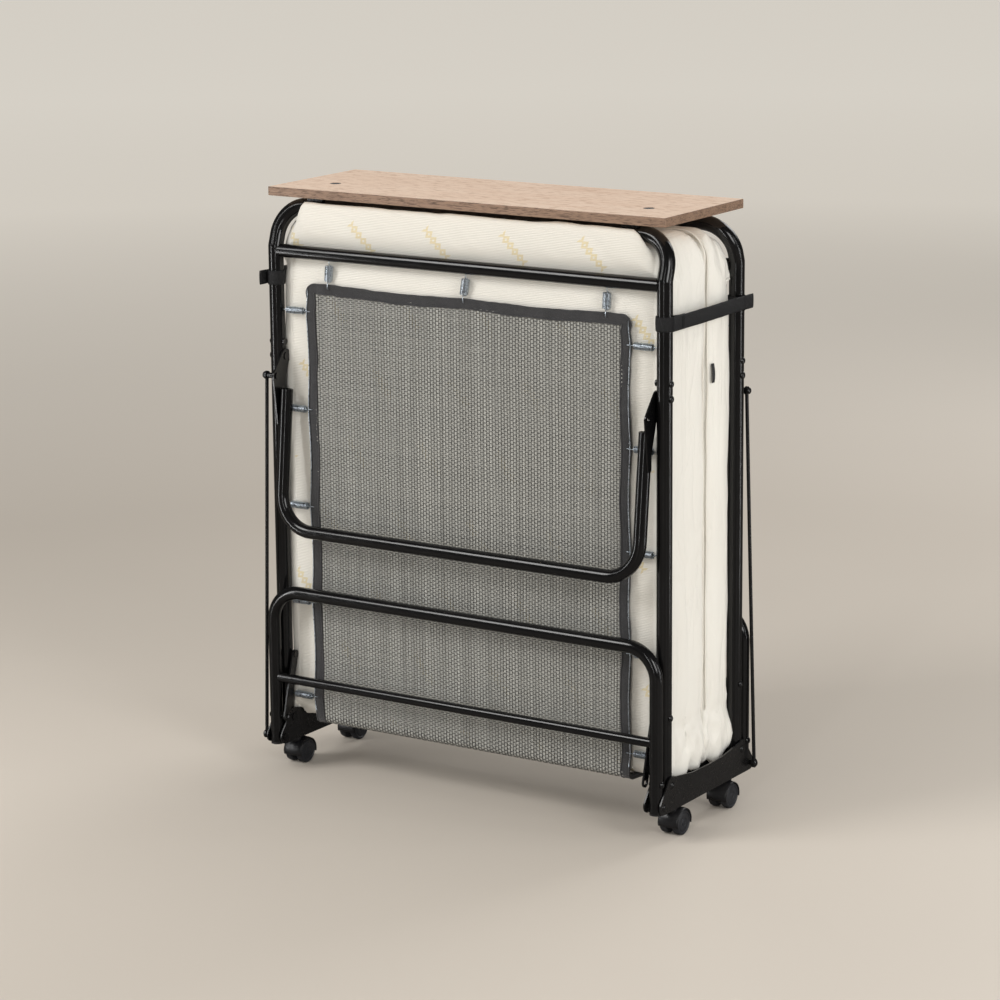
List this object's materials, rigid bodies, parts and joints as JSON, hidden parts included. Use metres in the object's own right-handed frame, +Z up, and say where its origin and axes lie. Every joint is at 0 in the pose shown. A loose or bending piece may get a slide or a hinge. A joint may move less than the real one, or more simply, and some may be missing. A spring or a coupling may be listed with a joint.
{
  "type": "rollaway folding bed",
  "caption": "Folding guest bed on casters, folded upright: two tube frames with mesh decks and a cream mattress, swing-down legs and an oak-look headboard lying on top.",
  "frame": {"origin": "on the floor under the middle of the folded bed", "axes": "+X across the bed, +Y from the front half to the rear half, +Z up"},
  "size_m": [0.808, 0.3282, 1.006],
  "materials": {
    "black_tube": "gloss black powder coat",
    "black_plate": "gloss black powder coat",
    "black_rivet": "gloss black rivets",
    "black_plastic": "satin moulded end plugs",
    "zinc_steel": "bright zinc plate",
    "mesh_fabric": "open basket weave",
    "binding_fabric": "folded and stitched tape",
    "mattress_fabric": "cream cotton ticking with fine ribs",
    "oak_board": "light oak laminate",
    "webbing": "woven black webbing",
    "caster_plastic": "satin black",
    "wheel_plastic": "satin black"
  },
  "bodies": {
    "centre_bracket": {"outer_side_plates": "black_plate", "inner_side_plates": "black_plate", "caster_channels": "black_plate", "frame_pivot_bolts": "black_rivet", "centre_leg_pivot_bolts": "black_rivet", "centre_mesh": "mesh_fabric", "mattress_fold": "mattress_fabric"},
    "front_frame": {"front_main_frame": "black_tube", "front_crossbar": "black_tube", "front_tube_plugs": "black_plastic", "front_mesh_panel": "mesh_fabric", "front_mesh_binding": "binding_fabric", "front_side_springs": "zinc_steel", "front_top_springs": "zinc_steel", "front_link_pins": "black_rivet", "front_leg_pivot_bolts": "black_rivet", "front_leg_stop_bolts": "black_rivet", "front_mattress": "mattress_fabric", "headboard": "oak_board", "headboard_brackets": "black_plate", "headboard_screws": "zinc_steel", "right_strap": "webbing"},
    "front_centre_leg_body": {"front_centre_leg": "black_tube", "front_centre_leg_stretcher": "black_tube", "front_centre_leg_plugs": "black_plastic", "front_centre_leg_pins": "black_rivet"},
    "front_links": {"front_fold_links": "black_plate"},
    "front_end_leg_body": {"front_end_leg": "black_tube", "front_rod_bolt": "black_rivet"},
    "front_rod": {"front_connecting_rod": "black_plate"},
    "rear_frame": {"rear_main_frame": "black_tube", "rear_crossbar": "black_tube", "rear_tube_plugs": "black_plastic", "rear_mesh_panel": "mesh_fabric", "rear_mesh_binding": "binding_fabric", "rear_side_springs": "zinc_steel", "rear_top_springs": "zinc_steel", "rear_link_pins": "black_rivet", "rear_leg_pivot_bolts": "black_rivet", "rear_leg_stop_bolts": "black_rivet", "rear_mattress": "mattress_fabric", "left_strap": "webbing"},
    "rear_centre_leg_body": {"rear_centre_leg": "black_tube", "rear_centre_leg_stretcher": "black_tube", "rear_centre_leg_plugs": "black_plastic", "rear_centre_leg_pins": "black_rivet"},
    "rear_links": {"rear_fold_links": "black_plate"},
    "rear_end_leg_body": {"rear_end_leg": "black_tube", "rear_rod_bolt": "black_rivet"},
    "rear_rod": {"rear_connecting_rod": "black_plate"},
    "front_left_caster": {"front_left_caster_fork": "caster_plastic"},
    "front_left_wheel_pair": {"front_left_wheels": "wheel_plastic"},
    "front_right_caster": {"front_right_caster_fork": "caster_plastic"},
    "front_right_wheel_pair": {"front_right_wheels": "wheel_plastic"},
    "rear_left_caster": {"rear_left_caster_fork": "caster_plastic"},
    "rear_left_wheel_pair": {"rear_left_wheels": "wheel_plastic"},
    "rear_right_caster": {"rear_right_caster_fork": "caster_plastic"},
    "rear_right_wheel_pair": {"rear_right_wheels": "wheel_plastic"}
  },
  "joints": [
    {"name": "front_fold", "type": "hinge", "parent": "centre_bracket", "child": "front_frame", "pos_m": [0, -0.115, 0.092], "axis": [1, 0, 0], "range_deg": [0, 90], "deforming": ["mattress_fold", "right_strap", "left_strap"]},
    {"name": "front_centre_leg_swing", "type": "hinge", "parent": "centre_bracket", "child": "front_centre_leg_body", "pos_m": [0, -0.142, 0.062], "axis": [1, 0, 0], "range_deg": [0, 180]},
    {"name": "front_link_swing", "type": "hinge", "parent": "front_frame", "child": "front_links", "pos_m": [0, -0.115, 0.203], "axis": [1, 0, 0], "range_deg": [-24, 0]},
    {"name": "front_end_leg_swing", "type": "hinge", "parent": "front_frame", "child": "front_end_leg_body", "pos_m": [0, -0.115, 0.721], "axis": [1, 0, 0], "range_deg": [-90, 0]},
    {"name": "front_rod_swing", "type": "hinge", "parent": "centre_bracket", "child": "front_rod", "pos_m": [0, -0.142, 0.062], "axis": [1, 0, 0], "range_deg": [0, 90]},
    {"name": "rear_fold", "type": "hinge", "parent": "centre_bracket", "child": "rear_frame", "pos_m": [0, 0.115, 0.092], "axis": [-1, 0, 0], "range_deg": [0, 90], "deforming": ["mattress_fold", "right_strap", "left_strap"]},
    {"name": "rear_centre_leg_swing", "type": "hinge", "parent": "centre_bracket", "child": "rear_centre_leg_body", "pos_m": [0, 0.142, 0.062], "axis": [-1, 0, 0], "range_deg": [0, 180]},
    {"name": "rear_link_swing", "type": "hinge", "parent": "rear_frame", "child": "rear_links", "pos_m": [0, 0.115, 0.203], "axis": [-1, 0, 0], "range_deg": [-24, 0]},
    {"name": "rear_end_leg_swing", "type": "hinge", "parent": "rear_frame", "child": "rear_end_leg_body", "pos_m": [0, 0.115, 0.721], "axis": [-1, 0, 0], "range_deg": [-90, 0]},
    {"name": "rear_rod_swing", "type": "hinge", "parent": "centre_bracket", "child": "rear_rod", "pos_m": [0, 0.142, 0.062], "axis": [-1, 0, 0], "range_deg": [0, 90]},
    {"name": "front_left_swivel", "type": "hinge", "parent": "centre_bracket", "child": "front_left_caster", "pos_m": [-0.374, -0.09, 0.05], "axis": [0, 0, 1], "continuous": true},
    {"name": "front_left_wheel_spin", "type": "hinge", "parent": "front_left_caster", "child": "front_left_wheel_pair", "pos_m": [-0.374, -0.08, 0.021], "axis": [1, 0, 0], "continuous": true},
    {"name": "front_right_swivel", "type": "hinge", "parent": "centre_bracket", "child": "front_right_caster", "pos_m": [0.374, -0.09, 0.05], "axis": [0, 0, 1], "continuous": true},
    {"name": "front_right_wheel_spin", "type": "hinge", "parent": "front_right_caster", "child": "front_right_wheel_pair", "pos_m": [0.374, -0.08, 0.021], "axis": [1, 0, 0], "continuous": true},
    {"name": "rear_left_swivel", "type": "hinge", "parent": "centre_bracket", "child": "rear_left_caster", "pos_m": [-0.374, 0.09, 0.05], "axis": [0, 0, 1], "continuous": true},
    {"name": "rear_left_wheel_spin", "type": "hinge", "parent": "rear_left_caster", "child": "rear_left_wheel_pair", "pos_m": [-0.374, 0.08, 0.021], "axis": [1, 0, 0], "continuous": true},
    {"name": "rear_right_swivel", "type": "hinge", "parent": "centre_bracket", "child": "rear_right_caster", "pos_m": [0.374, 0.09, 0.05], "axis": [0, 0, 1], "continuous": true},
    {"name": "rear_right_wheel_spin", "type": "hinge", "parent": "rear_right_caster", "child": "rear_right_wheel_pair", "pos_m": [0.374, 0.08, 0.021], "axis": [1, 0, 0], "continuous": true}
  ],
  "couplings": [
    {"joint": "front_centre_leg_swing", "follows": "front_fold", "ratio": 2},
    {"joint": "front_link_swing", "follows": "front_fold", "ratio": -0.2661},
    {"joint": "front_end_leg_swing", "follows": "front_fold", "ratio": -1},
    {"joint": "front_rod_swing", "follows": "front_fold", "ratio": 1},
    {"joint": "rear_centre_leg_swing", "follows": "rear_fold", "ratio": 2},
    {"joint": "rear_link_swing", "follows": "rear_fold", "ratio": -0.2661},
    {"joint": "rear_end_leg_swing", "follows": "rear_fold", "ratio": -1},
    {"joint": "rear_rod_swing", "follows": "rear_fold", "ratio": 1}
  ]
}
